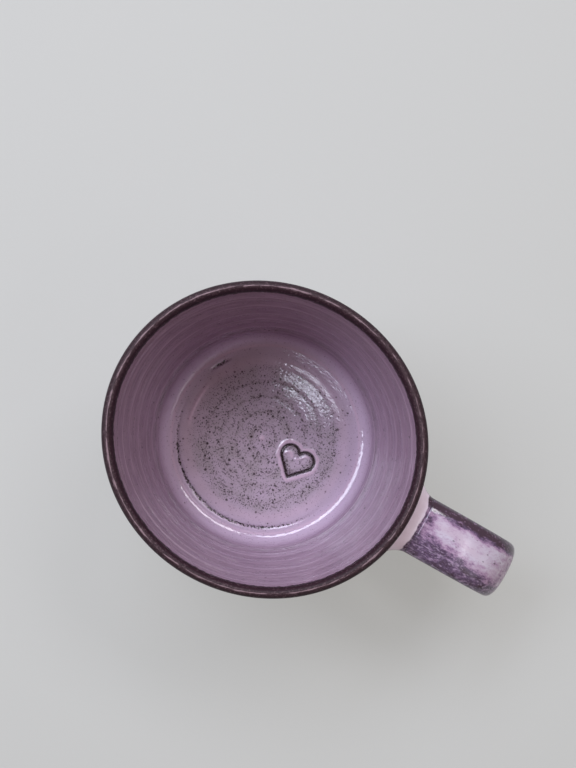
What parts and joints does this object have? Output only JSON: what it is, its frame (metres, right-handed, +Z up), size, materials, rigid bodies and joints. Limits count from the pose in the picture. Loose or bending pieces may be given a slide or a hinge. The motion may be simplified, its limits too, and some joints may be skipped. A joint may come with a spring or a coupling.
{
  "type": "soup mug",
  "caption": "Wide stoneware soup mug with a pulled strap handle luted on by clay fillets, a dark glazed rim, a heart stamped into the floor and a bare turned foot ring.",
  "frame": {"origin": "centre of the foot ring's flat face, on the throwing axis", "axes": "+Z up the throwing axis to the mouth, +X from the axis to the handle, +Y to the left of the handle"},
  "size_m": [0.167, 0.118, 0.084],
  "materials": {
    "stoneware": "matte",
    "joint_glaze": "gloss",
    "liner_glaze": "gloss",
    "rim_glaze": "gloss",
    "outer_glaze": "gloss",
    "handle_glaze": "gloss"
  },
  "bodies": {
    "root": {"thrown_body": "stoneware", "strap_handle": "stoneware", "upper_joint_coil": "joint_glaze", "lower_joint_coil": "joint_glaze", "liner_glaze": "liner_glaze", "rim_glaze": "rim_glaze", "outer_glaze": "outer_glaze", "handle_glaze": "handle_glaze"}
  },
  "joints": []
}
